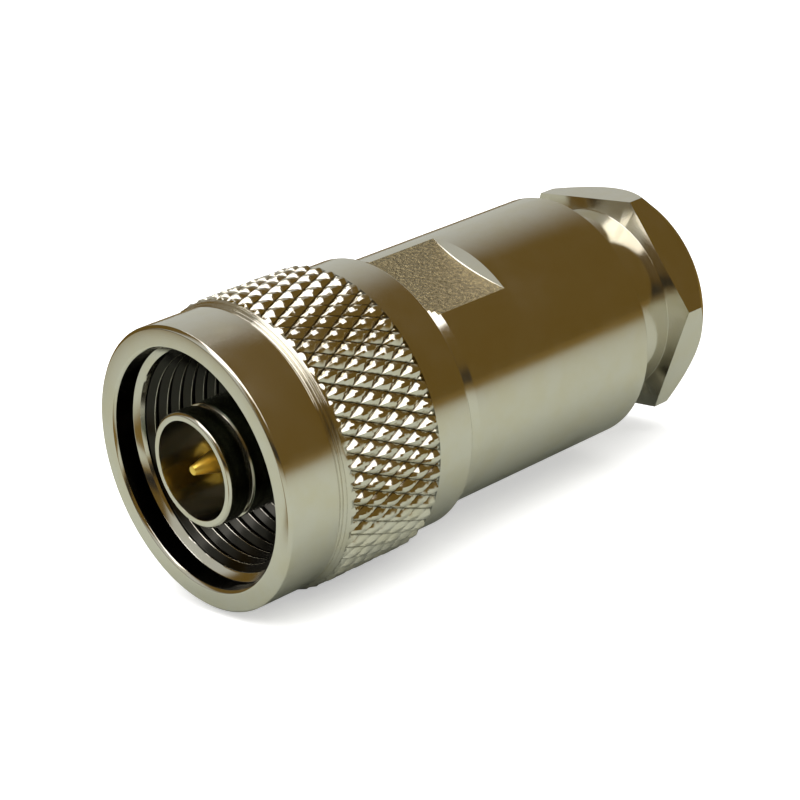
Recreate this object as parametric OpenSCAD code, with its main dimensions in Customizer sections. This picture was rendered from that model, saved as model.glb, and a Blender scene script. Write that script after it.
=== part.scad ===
// N type cable plug, clamp type, without a cable.
// The connector's axis lies along X. The mating end faces -X and the cable end faces +X.
// The origin is on the axis in the plane of the mating rim, and +Z is normal to a hex flat.

/* [Coupling nut] */
// Length of the coupling nut from its front rim to its rear face
nut_len = 16.5; // [13.7:0.1:20]
// Diameter of the plain barrel at the front of the nut
nut_barrel_d = 20.1; // [19.6:0.1:24.5]
// Length of the plain barrel
nut_barrel_len = 4.2; // [3:0.1:5.1]
// Length of the cone between the barrel and the knurl
nut_cone_len = 0.8; // [0.5:0.1:1]
// Diameter of the plain collar behind the knurl
nut_collar_d = 19.86; // [19.5:0.02:24]
// Bevel on the outer edges of the nut
nut_bevel = 0.3; // [0.1:0.05:0.4]

/* [Knurl] */
// Diameter over the tips of the knurl
knurl_d = 20.84; // [20.6:0.02:25.1]
// Depth of the grooves between the diamonds
knurl_depth = 0.52; // [0.3:0.02:0.64]
// Number of diamonds in one ring
knurl_count = 52; // [24:1:64]
// Number of staggered rings of diamonds
knurl_rows = 7; // [3:1:9]
// Length of the knurled band
knurl_len = 8.1; // [6:0.1:9.8]
// Length of the chamfer at each end of the knurl
knurl_chamfer = 0.3; // [0.1:0.05:0.6]

/* [Mouth of the nut] */
// Diameter of the counterbore at the mouth
mouth_d = 16.9; // [16:0.1:17.2]
// Depth of the counterbore
mouth_depth = 1.6; // [1.2:0.1:2]
// Length of the cone from the counterbore to the thread
mouth_cone_len = 0.8; // [0.4:0.1:1.2]
// Bevel on the inner edge of the rim
mouth_bevel = 0.2; // [0.1:0.05:0.3]
// Minor diameter of the coupling thread
coupling_thread_d = 14.9; // [13.8:0.1:15.2]
// Diameter of the relief behind the coupling thread
relief_d = 16.1; // [15.8:0.1:17]
// Length of the relief
relief_len = 1.1; // [0.8:0.1:1.6]

/* [Mating sleeve] */
// Outer diameter of the outer contact sleeve
sleeve_d = 8.1; // [7.9:0.05:9.7]
// Bore of the outer contact sleeve
sleeve_bore_d = 7; // [5.8:0.1:7.2]
// Length of the lip at the sleeve's tip
sleeve_lip_len = 1.6; // [1:0.1:2.5]
// Width of the groove behind the lip
sleeve_groove_w = 0.5; // [0.3:0.1:1]
// Depth of the groove behind the lip
sleeve_groove_depth = 0.2; // [0.1:0.05:0.25]
// Bevel on the outer edge of the lip
sleeve_bevel = 0.15; // [0.05:0.05:0.25]

/* [Body] */
// Outer diameter of the body
body_d = 18.5; // [17.6:0.1:22.2]
// Length of the body behind the coupling nut
body_len = 17.9; // [14.9:0.1:22]
// Gap between the coupling nut and the body's shoulder
nut_gap = 0.4; // [0.2:0.1:0.8]
// Radial step of the bevel at the front of the body
body_front_step = 0.5; // [0.2:0.05:0.6]
// Length of the bevel at the front of the body
body_front_bevel = 0.7; // [0.3:0.05:1]
// Bevel on the rear edge of the body
body_rear_bevel = 0.25; // [0.1:0.05:0.4]
// Diameter of the journal that the coupling nut turns on
journal_d = 15.34; // [15:0.02:15.6]
// Length of the journal
journal_len = 5.5; // [4.6:0.1:6.6]
// Diameter of the boss that carries the front gasket
boss_d = 10.4; // [10:0.1:11.6]
// Length of the boss
boss_len = 2.2; // [1.6:0.1:3]
// Wall of the body round the clamp bore
body_wall = 1.8; // [1.5:0.05:2.2]
// Chamfer at the mouth of the clamp bore
body_mouth_chamfer = 0.3; // [0.1:0.05:0.5]

/* [Wrench flats] */
// Depth of each wrench flat below the body's surface
flat_depth = 0.75; // [0.4:0.05:0.8]
// Length of the flats, from the body's shoulder
flat_len = 6.8; // [4:0.1:9]
// Length of the sloped end of the flats
flat_runout = 0.5; // [0.3:0.1:1.5]
// Turn of the flats about the axis, away from the top
flat_turn = 24; // [0:1:90]

/* [Snap ring] */
// Distance from the nut's rear face to the middle of the ring
ring_setback = 2.3; // [2:0.1:3]
// Thickness of the ring along the axis
ring_t = 0.8; // [0.5:0.05:1]
// Diameter of the bottom of the journal's groove
ring_groove_d = 14; // [13.4:0.1:14.4]
// Diameter of the bottom of the nut's groove
ring_recess_d = 16.7; // [16.3:0.1:17.2]
// Width of the opening in the ring
ring_opening = 2.5; // [1:0.1:6]

/* [Centre contact] */
// Diameter of the mating pin
pin_d = 1.64; // [1.4:0.02:1.96]
// Distance from the rim to the pin's tip
pin_setback = 0.1; // [0:0.1:0.5]
// Length of the cone at the pin's tip
pin_cone_len = 1.9; // [1:0.1:2.3]
// Diameter of the flat at the tip
pin_tip_d = 0.66; // [0.3:0.02:0.9]
// Length of the mating pin with its tip
pin_len = 5.4; // [4.6:0.1:6.4]
// Diameter of the stem in the front insulator
pin_stem_d = 3.04; // [2.6:0.02:3.6]
// Diameter of the collar that holds the contact
pin_collar_d = 4.8; // [4.2:0.1:5.7]
// Length of the collar
pin_collar_len = 1; // [0.8:0.1:1.5]
// Diameter of the solder cup
cup_d = 3.2; // [2.9:0.1:3.8]
// Bore of the solder cup
cup_bore_d = 2.4; // [2:0.1:2.6]
// Length of the cup behind the rear insulator
cup_reach = 2.6; // [2.2:0.1:3.2]
// Depth of the cup's bore
cup_depth = 5; // [4:0.1:6]
// Diameter of the solder hole in the side of the cup
cup_hole_d = 0.9; // [0.6:0.1:1.1]

/* [Insulators] */
// Diameter of the front insulator
front_insulator_d = 8.8; // [8.5:0.05:9.3]
// Length of the front insulator
front_insulator_len = 2.9; // [2.4:0.1:3.5]
// Diameter of the rear insulator
rear_insulator_d = 10.4; // [9.8:0.1:11.6]
// Length of the rear insulator
rear_insulator_len = 6; // [5:0.1:6.6]

/* [Cable clamp] */
// Thickness of the braid clamp's flange
clamp_flange_t = 1.2; // [0.8:0.1:1.6]
// Diameter of the braid clamp's cone at the flange
clamp_cone_d = 13; // [12.6:0.1:13.6]
// Diameter of the braid clamp's cone at its rear end
clamp_tip_d = 11; // [10.4:0.1:11.6]
// Bore of the braid clamp
clamp_bore_d = 7.6; // [6.4:0.1:9]
// Length of the clamp gasket
gasket_len = 4.7; // [4:0.1:5.6]
// Length of the flared mouth of the clamp gasket
gasket_flare_len = 2.6; // [2:0.1:3]
// Diameter of the flared mouth
gasket_flare_d = 12.8; // [12.4:0.1:13.2]
// Length of the cone that reaches into the gasket
gasket_overlap = 0.9; // [0.5:0.1:1.2]
// Bore of the clamp gasket and of the slip washer
gasket_bore_d = 10.5; // [9.2:0.1:10.7]
// Thickness of the slip washer
washer_t = 0.8; // [0.5:0.1:1]
// Thickness of the front gasket
front_gasket_t = 1; // [0.6:0.1:1.2]
// Outer diameter of the front gasket
front_gasket_d = 14.4; // [13:0.1:14.6]

/* [Clamp nut] */
// Length of the clamp nut's thread
nose_len = 4.3; // [3.8:0.1:5]
// Distance of the thread's end inside the body
nose_inset = 0.2; // [0.1:0.1:0.4]
// Diameter of the plain neck between the thread and the hex
neck_d = 14.2; // [13.4:0.1:14.4]
// Gap between the body and the hex
neck_gap = 4.4; // [3.6:0.1:5.4]
// Width of the hex across its flats
hex_across = 16; // [14.8:0.1:18]
// Length of the hex
hex_len = 3.2; // [2.6:0.1:5]
// Length of the chamfer over the hex's corners
hex_chamfer_len = 1.85; // [1:0.05:2]
// Radial drop of the chamfer over that length
hex_chamfer_drop = 1.48; // [0.8:0.02:1.6]
// Cable bore of the clamp nut
cable_bore_d = 11; // [9.2:0.1:11.4]
// Chamfer at the mouth of the cable bore
cable_chamfer = 0.3; // [0.1:0.05:0.5]

/* [Fits] */
// Radial clearance between the nut and the journal
journal_clearance = 0.08; // [0.02:0.01:0.1]
// Radial clearance between the clamp nut's thread and the body
thread_clearance = 0.05; // [0.02:0.01:0.1]
// Radial clearance round insulators and the centre contact
seat_clearance = 0.05; // [0.02:0.01:0.1]
// Radial clearance round gaskets, washers and the snap ring
loose_clearance = 0.1; // [0.05:0.01:0.15]
// End gap between pieces stacked along the axis
stack_gap = 0.1; // [0.02:0.01:0.15]

/* [Hidden] */

nickel = [0.74, 0.73, 0.68];
spring_steel = [0.55, 0.56, 0.58];
gold = [0.86, 0.66, 0.28];
ptfe = [0.93, 0.93, 0.90];
rubber = [0.13, 0.13, 0.13];
brass = [0.78, 0.66, 0.36];

round_fn = 96;
// How far a cutting tool runs past the surface that it cuts
past = 1;
// How deep the knurled ring is let into the blank, and how far below the grooves the blank stops
knurl_root_wall = 0.3;
knurl_bed = 0.06;
// How much of the knurl's depth the cone in front of it climbs, and the step down to the ring there
knurl_lead_share = 0.45;
knurl_seat_step = 0.02;

// Places along the axis, from the mating rim towards the cable
x_knurl = nut_barrel_len + nut_cone_len;
x_knurl_end = x_knurl + knurl_len;
x_thread = mouth_depth + mouth_cone_len;
x_journal = nut_len - journal_len;
x_relief_end = x_journal - 0.3;
x_relief = x_relief_end - relief_len;
x_ring = nut_len - ring_setback;
x_boss = x_journal - boss_len;
x_insulator = x_boss + 0.8;
x_insulator_step = x_insulator + front_insulator_len;
x_rear_insulator_end = x_insulator_step + rear_insulator_len;
x_clamp_seat = x_rear_insulator_end + stack_gap;
x_shoulder = nut_len + nut_gap;
x_body_end = x_shoulder + body_len;
x_nose_end = x_body_end - nose_inset;
x_nose = x_nose_end - nose_len;
x_washer = x_nose - stack_gap - washer_t;
x_gasket = x_washer - stack_gap - gasket_len;
x_clamp_end = x_gasket + gasket_overlap;
x_hex = x_body_end + neck_gap;
x_end = x_hex + hex_len;

// Radii
knurl_r = knurl_d / 2;
knurl_root_r = knurl_r - knurl_depth;
knurl_lead_r = knurl_root_r + knurl_lead_share * knurl_depth;
blank_r = knurl_root_r - knurl_bed;
nut_bore_r = journal_d / 2 + journal_clearance;
sleeve_r = sleeve_d / 2;
body_r = body_d / 2;
flat_h = body_r - flat_depth;
clamp_bore_r = body_r - body_wall;
nose_r = clamp_bore_r - thread_clearance;
clamp_stack_r = clamp_bore_r - loose_clearance;
front_seat_r = front_insulator_d / 2 + seat_clearance;
rear_seat_r = rear_insulator_d / 2 + seat_clearance;
gasket_bore_r = gasket_bore_d / 2;
hex_corner_r = hex_across / 2 / cos(30);

// A solid of revolution about X. Each point of the profile is [radius, distance from the rim].
module lathe(profile) {
    rotate([0, 90, 0]) rotate_extrude($fn = round_fn) polygon(profile);
}

// A plain ring about X
module ring(outer_r, inner_r, from, to) {
    lathe([[inner_r, from], [outer_r, from], [outer_r, to], [inner_r, to]]);
}

// Distance from the rim to each ring of points in the knurl: two plain ends and the rows between them
function knurl_x(row) =
    row < 0 ? x_knurl :
    row >= knurl_rows ? x_knurl_end :
    x_knurl + knurl_chamfer + row * (knurl_len - 2 * knurl_chamfer) / (knurl_rows - 1);

// Tips and groove crossings alternate like the fields of a chessboard. The front end meets the cone, and
// the rear end lies at the roots.
function knurl_point_r(column, row) =
    row < 0 ? knurl_lead_r - knurl_seat_step :
    row >= knurl_rows || (column + row) % 2 == 1 ? knurl_root_r : knurl_r;

// A ring of pointed diamonds, with a plain inner wall that is buried in the blank
module diamond_knurl() {
    columns = 2 * knurl_count;
    levels = knurl_rows + 2;
    inner_r = blank_r - knurl_root_wall;
    outer = [for (level = [0 : levels - 1]) for (column = [0 : columns - 1])
        let (a = column * 360 / columns, r = knurl_point_r(column, level - 1))
        [knurl_x(level - 1), r * cos(a), r * sin(a)]];
    inner = [for (x = [x_knurl, x_knurl_end]) for (column = [0 : columns - 1])
        let (a = column * 360 / columns) [x, inner_r * cos(a), inner_r * sin(a)]];
    front = levels * columns;
    rear = front + columns;
    last = (levels - 1) * columns;
    // Each cell is folded along its groove, which joins its two crossings
    skin = [for (level = [0 : levels - 2]) for (column = [0 : columns - 1])
        let (next = (column + 1) % columns, a = level * columns + column, b = level * columns + next,
             c = a + columns, d = b + columns)
        each ((column + level) % 2 == 0 ? [[a, c, d], [a, d, b]] : [[a, c, b], [b, c, d]])];
    walls = [for (column = [0 : columns - 1]) let (next = (column + 1) % columns)
        each [
            [front + column, front + next, rear + column], [front + next, rear + next, rear + column],
            [column, next, front + column], [next, front + next, front + column],
            [last + column, rear + column, last + next], [last + next, rear + column, rear + next]
        ]];
    polyhedron(concat(outer, inner), concat(skin, walls));
}

module coupling_nut() {
    barrel_r = nut_barrel_d / 2;
    collar_r = nut_collar_d / 2;
    mouth_r = mouth_d / 2;
    thread_r = coupling_thread_d / 2;
    recess_r = ring_recess_d / 2;
    recess_half = ring_t / 2 + 2 * stack_gap;
    color(nickel) union() {
        lathe([
            [mouth_r + mouth_bevel, 0], [barrel_r - nut_bevel, 0], [barrel_r, nut_bevel], [barrel_r, nut_barrel_len],
            [blank_r, nut_barrel_len], [blank_r, x_knurl_end], [collar_r, x_knurl_end],
            [collar_r, nut_len - nut_bevel], [collar_r - nut_bevel, nut_len], [nut_bore_r, nut_len],
            [nut_bore_r, x_ring + recess_half], [recess_r, x_ring + recess_half],
            [recess_r, x_ring - recess_half], [nut_bore_r, x_ring - recess_half],
            [nut_bore_r, x_relief_end], [relief_d / 2, x_relief_end], [relief_d / 2, x_relief],
            [thread_r, x_relief], [thread_r, x_thread], [mouth_r, mouth_depth], [mouth_r, mouth_bevel]
        ]);
        // Cone that leads up to the knurl, with a small groove at its foot
        lathe([
            [blank_r - knurl_root_wall, nut_barrel_len + nut_cone_len / 4],
            [blank_r, nut_barrel_len + nut_cone_len / 4],
            [knurl_lead_r, x_knurl], [blank_r - knurl_root_wall, x_knurl]
        ]);
        diamond_knurl();
    }
}

module retaining_ring() {
    inner_r = ring_groove_d / 2 + loose_clearance / 2;
    outer_r = ring_recess_d / 2 - loose_clearance;
    color(spring_steel) difference() {
        ring(outer_r, inner_r, x_ring - ring_t / 2, x_ring + ring_t / 2);
        translate([x_ring - ring_t, -ring_opening / 2, 0]) cube([2 * ring_t, ring_opening, outer_r + past]);
    }
}

module front_gasket() {
    color(rubber)
    ring(front_gasket_d / 2, boss_d / 2 + loose_clearance, x_journal - stack_gap - front_gasket_t,
        x_journal - stack_gap);
}

// Solid that a milling cutter takes off one side of the body
module flat_cutter() {
    x0 = x_shoulder - past;
    x1 = x_shoulder + flat_len;
    top = body_r + past;
    slope = flat_runout / flat_depth;
    rotate([flat_turn, 0, 0]) rotate([90, 0, 0])
    linear_extrude(2 * body_r, center = true)
    polygon([[x0, top], [x0, flat_h], [x1 - flat_runout, flat_h], [x1 + past * slope, top]]);
}

module body_shell() {
    journal_r = journal_d / 2;
    groove_r = ring_groove_d / 2;
    groove_half = ring_t / 2 + stack_gap;
    boss_r = boss_d / 2;
    sleeve_bore_r = sleeve_bore_d / 2;
    lip_r = sleeve_r - sleeve_groove_depth;
    groove_end = sleeve_lip_len + sleeve_groove_w;
    shoulder_r = body_r - body_front_step;
    color(nickel) difference() {
        lathe([
            [sleeve_bore_r, 0], [sleeve_r - sleeve_bevel, 0], [sleeve_r, sleeve_bevel],
            [sleeve_r, sleeve_lip_len], [lip_r, sleeve_lip_len], [lip_r, groove_end], [sleeve_r, groove_end],
            [sleeve_r, x_boss], [boss_r, x_boss], [boss_r, x_journal],
            [journal_r - stack_gap, x_journal], [journal_r, x_journal + stack_gap],
            [journal_r, x_ring - groove_half], [groove_r, x_ring - groove_half],
            [groove_r, x_ring + groove_half], [journal_r, x_ring + groove_half], [journal_r, x_shoulder],
            [shoulder_r, x_shoulder], [body_r, x_shoulder + body_front_bevel],
            [body_r, x_body_end - body_rear_bevel], [body_r - body_rear_bevel, x_body_end],
            [clamp_bore_r + body_mouth_chamfer, x_body_end],
            [clamp_bore_r, x_body_end - body_mouth_chamfer], [clamp_bore_r, x_clamp_seat],
            [rear_seat_r, x_clamp_seat], [rear_seat_r, x_insulator_step],
            [front_seat_r, x_insulator_step], [front_seat_r, x_insulator], [sleeve_bore_r, x_insulator]
        ]);
        flat_cutter();
        rotate([180, 0, 0]) flat_cutter();
    }
}

module centre_pin() {
    pin_r = pin_d / 2;
    stem_r = pin_stem_d / 2;
    collar_r = pin_collar_d / 2;
    cup_r = cup_d / 2;
    cup_bore_r = cup_bore_d / 2;
    x_tip = pin_setback;
    x_stem = x_tip + pin_len;
    x_collar = x_insulator_step;
    x_collar_end = x_collar + pin_collar_len;
    x_cup_end = x_rear_insulator_end + cup_reach;
    stem_bevel = seat_clearance * 3;
    color(gold) difference() {
        lathe([
            [0, x_tip], [pin_tip_d / 2, x_tip], [pin_r, x_tip + pin_cone_len], [pin_r, x_stem],
            [stem_r - stem_bevel, x_stem], [stem_r, x_stem + stem_bevel], [stem_r, x_collar],
            [collar_r, x_collar], [collar_r, x_collar_end], [cup_r, x_collar_end], [cup_r, x_cup_end],
            [cup_bore_r, x_cup_end], [cup_bore_r, x_cup_end - cup_depth], [0, x_cup_end - cup_depth]
        ]);
        translate([x_cup_end - cup_reach / 2, 0, 0]) cylinder(h = cup_r + past, r = cup_hole_d / 2, $fn = round_fn);
    }
}

module front_insulator() {
    color(ptfe)
    ring(front_insulator_d / 2, pin_stem_d / 2 + seat_clearance, x_insulator, x_insulator_step);
}

module rear_insulator() {
    hole_r = cup_d / 2 + seat_clearance;
    recess_r = pin_collar_d / 2 + seat_clearance;
    recess_end = x_insulator_step + pin_collar_len + seat_clearance;
    color(ptfe) lathe([
        [recess_r, x_insulator_step], [rear_insulator_d / 2, x_insulator_step],
        [rear_insulator_d / 2, x_rear_insulator_end], [hole_r, x_rear_insulator_end],
        [hole_r, recess_end], [recess_r, recess_end]
    ]);
}

module braid_clamp() {
    bore_r = clamp_bore_d / 2;
    x_flange_end = x_clamp_seat + clamp_flange_t;
    color(brass) lathe([
        [bore_r, x_clamp_seat], [clamp_stack_r, x_clamp_seat], [clamp_stack_r, x_flange_end],
        [clamp_cone_d / 2, x_flange_end], [clamp_tip_d / 2, x_clamp_end], [bore_r, x_clamp_end]
    ]);
}

module clamp_gasket() {
    x_flare_end = x_gasket + gasket_flare_len;
    x_gasket_end = x_gasket + gasket_len;
    color(rubber) lathe([
        [gasket_flare_d / 2, x_gasket], [clamp_stack_r, x_gasket], [clamp_stack_r, x_gasket_end],
        [gasket_bore_r, x_gasket_end], [gasket_bore_r, x_flare_end]
    ]);
}

module slip_washer() {
    color(brass) ring(clamp_stack_r, gasket_bore_r, x_washer, x_washer + washer_t);
}

module clamp_nut() {
    bore_r = cable_bore_d / 2;
    neck_r = neck_d / 2;
    cone_end_r = hex_corner_r - hex_chamfer_drop;
    color(nickel) difference() {
        union() {
            lathe([
                [0, x_nose], [nose_r - nose_inset, x_nose], [nose_r, x_nose + nose_inset],
                [nose_r, x_nose_end], [neck_r, x_nose_end], [neck_r, x_hex], [0, x_hex]
            ]);
            intersection() {
                translate([x_hex, 0, 0]) rotate([0, 90, 0]) rotate(30)
                    cylinder(h = hex_len, r = hex_corner_r, $fn = 6);
                lathe([
                    [0, x_hex], [hex_corner_r + past, x_hex],
                    [hex_corner_r + past, x_end - hex_chamfer_len], [hex_corner_r, x_end - hex_chamfer_len],
                    [cone_end_r, x_end], [0, x_end]
                ]);
            }
        }
        lathe([
            [0, x_nose - past], [bore_r, x_nose - past], [bore_r, x_end - cable_chamfer],
            [bore_r + cable_chamfer, x_end], [bore_r + cable_chamfer, x_end + past], [0, x_end + past]
        ]);
    }
}

coupling_nut();
retaining_ring();
front_gasket();
body_shell();
centre_pin();
front_insulator();
rear_insulator();
braid_clamp();
clamp_gasket();
slip_washer();
clamp_nut();
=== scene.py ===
"""N type cable plug: the turned and plated pieces that show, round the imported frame."""

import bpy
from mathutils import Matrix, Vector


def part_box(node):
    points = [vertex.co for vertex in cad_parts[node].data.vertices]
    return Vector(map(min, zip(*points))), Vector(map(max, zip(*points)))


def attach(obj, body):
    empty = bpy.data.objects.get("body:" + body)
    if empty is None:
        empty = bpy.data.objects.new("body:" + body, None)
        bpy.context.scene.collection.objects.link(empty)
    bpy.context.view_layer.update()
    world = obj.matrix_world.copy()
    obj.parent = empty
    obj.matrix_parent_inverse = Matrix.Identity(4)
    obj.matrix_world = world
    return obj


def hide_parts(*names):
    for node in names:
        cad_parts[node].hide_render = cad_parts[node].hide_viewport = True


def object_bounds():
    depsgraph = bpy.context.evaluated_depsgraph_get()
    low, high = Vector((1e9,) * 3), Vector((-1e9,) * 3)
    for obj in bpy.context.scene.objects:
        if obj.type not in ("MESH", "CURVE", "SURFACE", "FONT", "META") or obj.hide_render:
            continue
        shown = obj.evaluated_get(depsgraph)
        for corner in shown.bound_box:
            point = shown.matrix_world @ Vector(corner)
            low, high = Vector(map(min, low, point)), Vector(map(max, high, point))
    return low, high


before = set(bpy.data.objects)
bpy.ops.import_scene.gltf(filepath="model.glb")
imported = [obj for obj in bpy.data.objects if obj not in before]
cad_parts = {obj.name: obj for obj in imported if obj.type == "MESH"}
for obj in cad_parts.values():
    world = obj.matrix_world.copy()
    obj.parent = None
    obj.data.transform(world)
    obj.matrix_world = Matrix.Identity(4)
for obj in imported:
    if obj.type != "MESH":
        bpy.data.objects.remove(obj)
CAD_BOX = [list(corner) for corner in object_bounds()]

import math
import random

import bmesh
import bpy
from bpy.props import FloatProperty, FloatVectorProperty, IntProperty, PointerProperty
from bpy.types import Operator, Panel, PropertyGroup
from mathutils import Matrix, Vector

bl_info = {
    "name": "N type cable plug",
    "version": (1, 0, 0),
    "blender": (4, 5, 0),
    "location": "View3D > Sidebar > Plug",
    "description": "Builds the turned, knurled and plated pieces of a coaxial cable plug",
    "category": "Add Mesh",
}

MM = 0.001
TURN = 2 * math.pi
AXIS = (1, 0, 0)
CENTRE = (0, 0, 0)
WHITE = (1.0, 1.0, 1.0)

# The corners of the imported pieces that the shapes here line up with.
_, NUT_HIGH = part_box("coupling_nut")
_, BODY_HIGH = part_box("body_shell")
PIN_LOW, PIN_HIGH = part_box("centre_pin")
CLAMP_LOW, CLAMP_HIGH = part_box("clamp_nut")
SEAT_LOW, SEAT_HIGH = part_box("front_insulator")
REAR_LOW, REAR_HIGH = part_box("rear_insulator")
GUIDE_LOW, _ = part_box("braid_clamp")
RING_LOW, RING_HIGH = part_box("retaining_ring")

# All turned pieces. Lengths are millimetres times MM, so they are kept in metres.
TURNED_STEPS = 192
CONTACT_STEPS = 96
SLACK = 0.001 * MM
CORNER_ROUNDING = 0.05 * MM
BORE_CHAMFER = 0.3 * MM
WELD = 2e-7
THREAD_WELD = 1e-7
SLIVER = 1e-8

# The knurl. Shifts and turns are in half diamonds, and the wander is in millimetres.
RIDGE_ROUNDING = 5.0
TOP_SHARE = 0.36
WALL_CURVE = 1.4
KNURL_TURN = -0.1
KNURL_SHIFT = (1.0, -0.25)
KNURL_WANDER = 0.010
KNURL_SEED = 11
KNURL_SLACK = 0.01 * MM

# The coupling nut.
RIM_BEVEL = 0.2 * MM
COLLAR_BEVEL = 0.3 * MM
RELIEF_LENGTH = 1.1 * MM
LEAD_MARGIN = 0.1 * MM
RING_SIDE_ROOM = 0.2 * MM
RING_OUTER_ROOM = 0.1 * MM
CONE_DROP = 0.55 * MM
CONE_STEP = 0.15 * MM
CONE_TOP_SHARE = 0.6
KNURL_COLOUR_MARGIN = 0.05 * MM
OUTSIDE_MARGIN = 0.25 * MM
CREST_MARGIN = 0.03 * MM
BORE_MARGIN = 0.02 * MM
# The tool's turning lines on the cone, as millimetres above its plain surface.
CONE_LINES = (0.0, -0.004, 0.004, -0.050, 0.004, 0.0, 0.006, -0.045, 0.0, 0.004, -0.004, 0.0)

# The body.
SLEEVE_BEVEL = 0.15 * MM
BOSS_RADIUS = 5.2 * MM
BOSS_BEFORE_SEAT = 0.8 * MM
JOURNAL_BEHIND_SEAT = 1.4 * MM
GROOVE_RADIUS = 7.0 * MM
GROOVE_ROOM = 0.1 * MM
SEAT_ROOM = 0.05 * MM
# How far a column is turned to a flat's edge, in half columns.
SNAP_REACH = 1.001
BEVEL_ROWS = 6
RUNOUT_ROWS = 6
FLOOR_MARGIN = 0.03 * MM
# The run-out rises in a straight line up to a share of its length and rounds off over the rest.
RUNOUT_SLOPE = 1.2
RUNOUT_BLEND = 0.75
RUNOUT_HEIGHT = 0.9
SLEEVE_MARGIN = 0.03 * MM
# Where the sleeve's painted shade starts and ends, from the rim.
SLEEVE_SHADE_START = 0.7 * MM
SLEEVE_SHADE_END = 2.5 * MM

# The centre contact.
STEM_BEVEL = 0.15 * MM
COLLAR_LENGTH = 1.0 * MM
CUP_RADIUS = 1.6 * MM
CUP_BORE = 1.2 * MM
CUP_DEPTH = 5.0 * MM

# The clamp nut.
NOSE_INSET = 1.85 * MM
NECK_STEP = 0.1 * MM
HEX_MARGIN = 0.3 * MM
CHAMFER_ROWS = 5

# Finishes.
TARNISH = (0.98, 0.96, 0.88)
# Painted shade in the knurl's grooves: near black just below the root, gone a little above it.
KNURL_GROOVE_PAINTED_SHADE = (0.12, 0.11, 0.08)
PAINTED_SHADE_BELOW_ROOT = 0.01 * MM
PAINTED_SHADE_ABOVE_ROOT = 0.08 * MM
# Painted shade: the nut's bore, its thread flanks and counterbore, is nickel darkened nearly to
# black.
BORE_PAINTED_SHADE = (0.05, 0.05, 0.05)
# Painted shade: the outer contact sleeve, deep in the nut's mouth, is nickel darkened to a dark
# green-grey.
SLEEVE_PAINTED_SHADE = (0.17, 0.19, 0.14)
MILLED_SHADE = (0.38, 0.33, 0.21)
GRAIN_DARK = (0.74, 0.74, 0.74)
GRAIN_LIGHT = (1.3, 1.3, 1.3)

# The stage. Lamps and the table are in metres, and the camera's place is in millimetres.
ROOM_BROWN = (0.155, 0.096, 0.018)
ROOM_GREY = (0.58, 0.59, 0.54)
ROOM_DARK = (0.02, 0.018, 0.015)
FILL_STRENGTH = 0.75
# Where the room changes, as parts of a ray's direction from -1 to 1.
BEHIND_X = (0.15, 0.45)
BEHIND_Y = (0.03, 0.80)
SIDE_X = (-0.55, -0.40)
SIDE_Y = (-0.25, -0.10)
FRONT_X = (-0.6, -0.3)
FRONT_Z = (0.1, 0.25)
LAMP_RADIANCE = 2.4
LAMP_HEIGHT = 0.6
LAMP_SHIFT = 0.02
LAMP_COLOUR = (1.0, 1.0, 0.99)
SOFTBOXES = {
    "softbox": ((-1.0, -0.75), (0.45, 0.35)),
    "softbox_front": ((-0.2, -1.6), (0.45, -0.75)),
    "softbox_back": ((0.28, 0.35), (0.60, 0.85)),
}
TABLE_HALF = 1.5
TABLE_GAP = 0.02 * MM
TABLE_COLOUR = (0.46, 0.48, 0.41)
TABLE_NEAR = (0.44, 0.465, 0.40)
TABLE_FAR = (0.14, 0.09, 0.02)
TABLE_SEEN = (0.85, 0.85, 0.85)
TABLE_GLOW = 0.45
# Where the metal mirrors the table dark: by the distance from the rim's centre; by X and Y
# added up, a painted shadow of the plug on the table behind it; and by X and the distance to
# either side, a painted dark reflection in a patch before the mouth.
DARK_AWAY = (0.02, 0.17)
PAINTED_SHADOW_BEYOND = (0.045, 0.075)
DARK_PATCH_X = (-0.018, -0.010)
DARK_PATCH_Y = (0.006, 0.010)
CAMERA_PLACE = (-82.1, -123.0, 50.8)
CAMERA_RIGHT = (0.7340, -0.6630, -0.1480)
CAMERA_FORWARD = (0.6015, 0.7360, -0.3110)
CAMERA_LENS = 106.24
CAMERA_SENSOR = 36
CAMERA_CLIP = (0.01, 10)


# ---------------------------------------------------------------- sizes and colours

def size(name, description, default):
    """A length that can be changed, given in millimetres here and kept in metres."""
    return FloatProperty(name=name, description=description, default=default * MM, min=0.0,
                         precision=5, unit="LENGTH", subtype="DISTANCE")


def tint(name, description, default):
    """A surface colour."""
    return FloatVectorProperty(name=name, description=description, default=default,
                               min=0.0, max=1.0, size=3, subtype="COLOR")


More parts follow.
